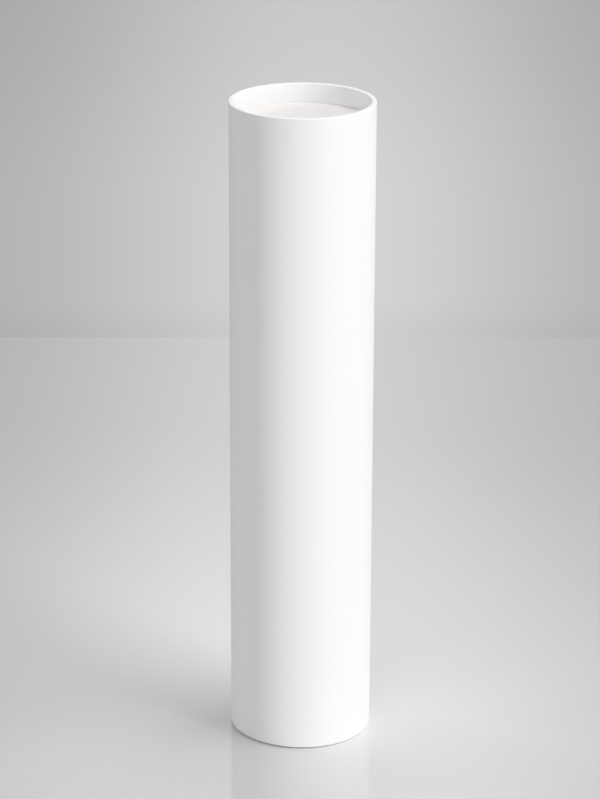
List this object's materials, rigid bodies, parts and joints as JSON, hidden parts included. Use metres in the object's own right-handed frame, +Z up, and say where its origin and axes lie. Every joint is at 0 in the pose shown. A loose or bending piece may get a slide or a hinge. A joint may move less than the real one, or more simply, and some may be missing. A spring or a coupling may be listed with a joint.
{
  "type": "mailing tube",
  "caption": "Plain white paper mailing tube that stands on its end, closed by a recessed press-in plastic plug at each end.",
  "frame": {"origin": "middle of the tube's foot, on the surface it stands on", "axes": "+Z up along the tube's axis; the tube is round, so X and Y may point any way"},
  "size_m": [0.06, 0.06, 0.275],
  "materials": {
    "paper": "matt white wound paper with a fine grain",
    "plastic": "soft white moulded plastic with a satin surface"
  },
  "bodies": {
    "tube": {"tube": "paper"},
    "top_plug": {"top_plug": "plastic"},
    "bottom_plug": {"bottom_plug": "plastic"}
  },
  "joints": [
    {"name": "top_plug_pull", "type": "slide", "parent": "tube", "child": "top_plug", "axis": [0, 0, 1], "range_m": [0, 0.03]},
    {"name": "bottom_plug_pull", "type": "slide", "parent": "tube", "child": "bottom_plug", "axis": [0, 0, -1], "range_m": [0, 0.03]}
  ]
}
